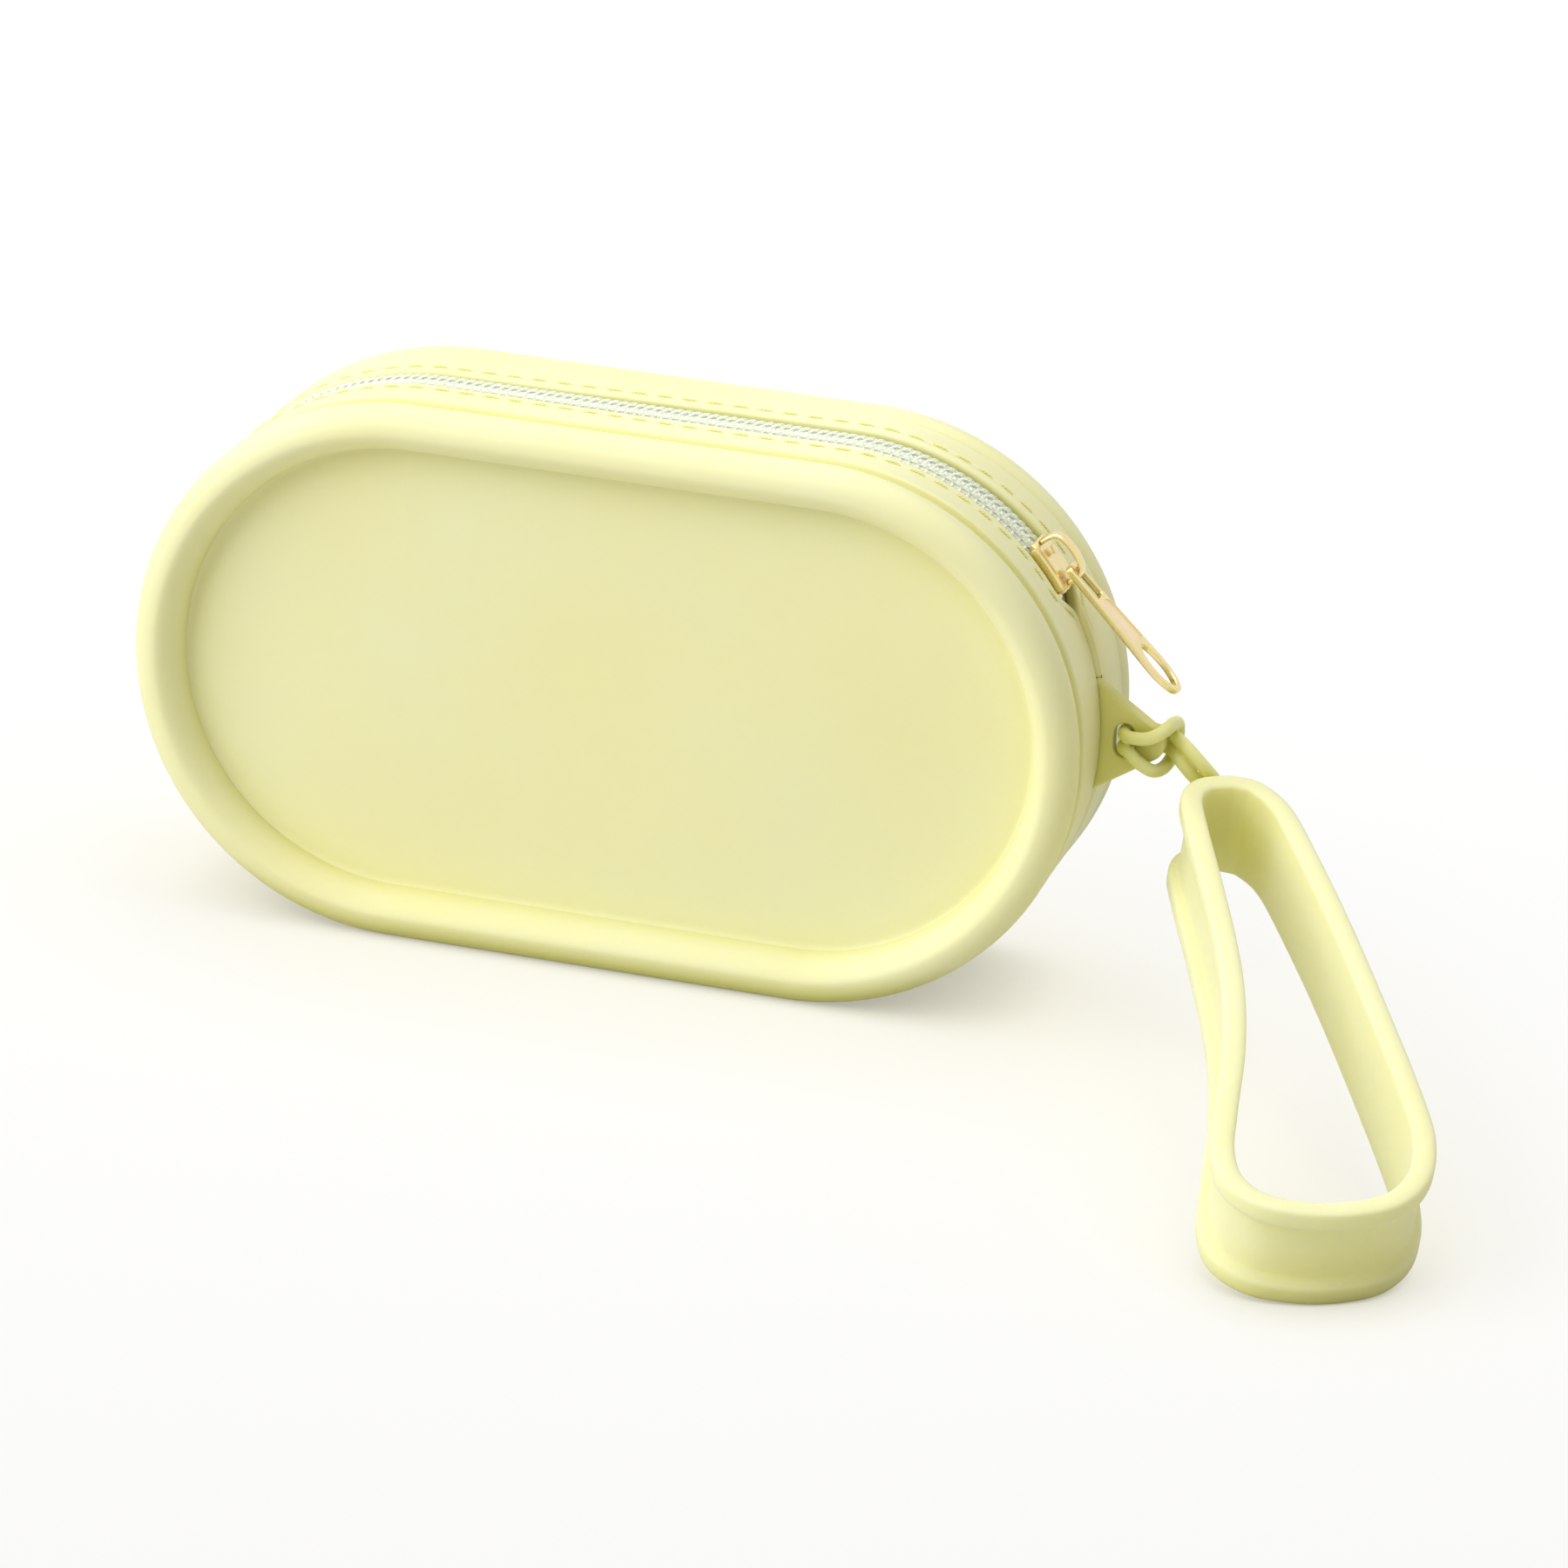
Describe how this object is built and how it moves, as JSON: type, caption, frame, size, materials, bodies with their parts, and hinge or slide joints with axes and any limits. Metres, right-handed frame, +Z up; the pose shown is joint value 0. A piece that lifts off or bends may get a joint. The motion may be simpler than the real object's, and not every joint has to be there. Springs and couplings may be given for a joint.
{
  "type": "silicone makeup bag",
  "caption": "Pill-shaped silicone makeup bag with raised rims round both flat faces, a zip over the top, a metal slider and pull, and a wrist strap hitched to its end tab.",
  "frame": {"origin": "on the surface the bag stands on, at the middle of the bag's length and thickness, under the seam between its two halves (the strap isn't counted)", "axes": "+X along the bag's length towards the end with the tab and wrist strap, -Y out of the front panel, +Z up; -Z is out of the flat underside that it stands on"},
  "size_m": [0.2201, 0.1221, 0.0857],
  "materials": {
    "bag_silicone": "soft matte silicone rubber, pale yellow",
    "strap_silicone": "soft matte silicone rubber, pale yellow",
    "zip_tape": "woven polyester tape, pale yellow",
    "zip_coil": "wound nylon coil, pale mint",
    "thread": "sewing thread, olive yellow",
    "gold_metal": "polished, light gold plating"
  },
  "bodies": {
    "bag": {"front_shell": "bag_silicone", "back_shell": "bag_silicone", "strap_tab": "strap_silicone", "zip_tape_front": "zip_tape", "zip_tape_back": "zip_tape", "coil_front": "zip_coil", "coil_back": "zip_coil", "seam_thread_front": "thread", "seam_thread_back": "thread", "top_stop_front": "gold_metal", "top_stop_back": "gold_metal", "bottom_stop": "gold_metal"},
    "slider": {"slider_body": "gold_metal", "slider_bridge": "gold_metal", "lock_spring": "gold_metal"},
    "pull": {"pull_tab": "gold_metal"},
    "hitch": {"hitch_cord": "strap_silicone"},
    "band": {"wrist_band": "strap_silicone"}
  },
  "joints": [
    {"name": "slider_travel", "type": "hinge", "parent": "bag", "child": "slider", "pos_m": [0.0322, 0, 0.04275], "axis": [0, 1, 0], "range_deg": [-50, 0], "deforming": ["coil_front", "coil_back"]},
    {"name": "pull_swing", "type": "hinge", "parent": "slider", "child": "pull", "pos_m": [0.06825, 0, 0.06985], "axis": [0, 1, 0], "range_deg": [-160, 0]},
    {"name": "strap_lift", "type": "hinge", "parent": "bag", "child": "hitch", "pos_m": [0.0786, 0, 0.044], "axis": [0, 1, 0], "range_deg": [-12, 0]},
    {"name": "band_swing", "type": "hinge", "parent": "hitch", "child": "band", "pos_m": [0.09196, 0.00323, 0.03343], "axis": [0.117, -0.198, 0.9732], "range_deg": [-35, 0]}
  ]
}
